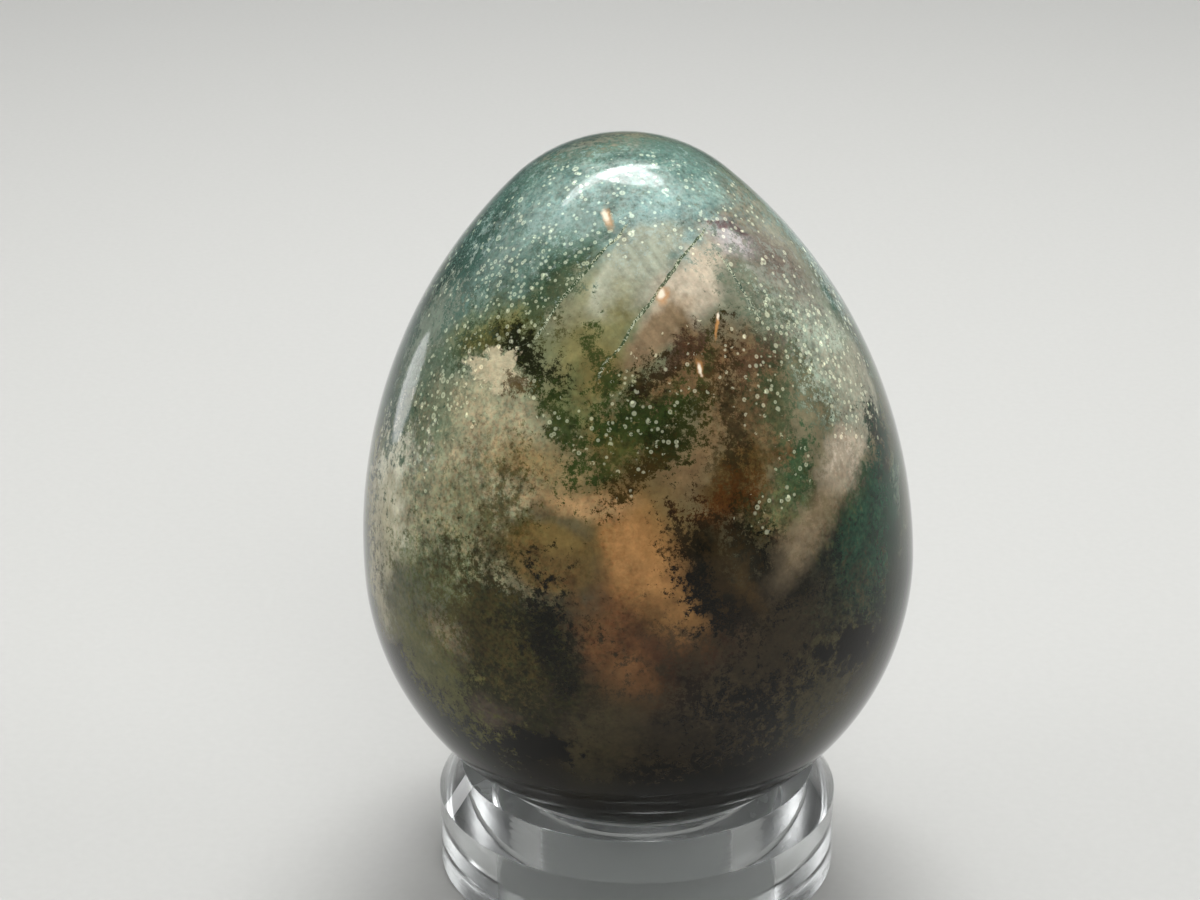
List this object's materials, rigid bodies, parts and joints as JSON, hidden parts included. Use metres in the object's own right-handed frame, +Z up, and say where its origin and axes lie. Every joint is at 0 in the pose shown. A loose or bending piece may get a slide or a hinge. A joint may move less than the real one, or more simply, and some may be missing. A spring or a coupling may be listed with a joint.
{
  "type": "decorative egg on stand",
  "caption": "Polished moss agate egg standing blunt end down in a clear bevelled acrylic ring, with the egg free to lift out of its seat.",
  "frame": {"origin": "on the table, at the centre of the ring's foot", "axes": "+Z up along the ring's axis, -Y towards the viewer's front, -X the way the egg's pointed end leans"},
  "size_m": [0.043, 0.043, 0.0605],
  "materials": {
    "polished_stone": "polished",
    "clear_acrylic": "polished, clear"
  },
  "bodies": {
    "ring": {"acrylic_ring": "clear_acrylic"},
    "egg": {"stone_egg": "polished_stone"}
  },
  "joints": [
    {"name": "egg_lift", "type": "slide", "parent": "ring", "child": "egg", "axis": [0, 0, 1], "range_m": [0, 0.03]}
  ]
}
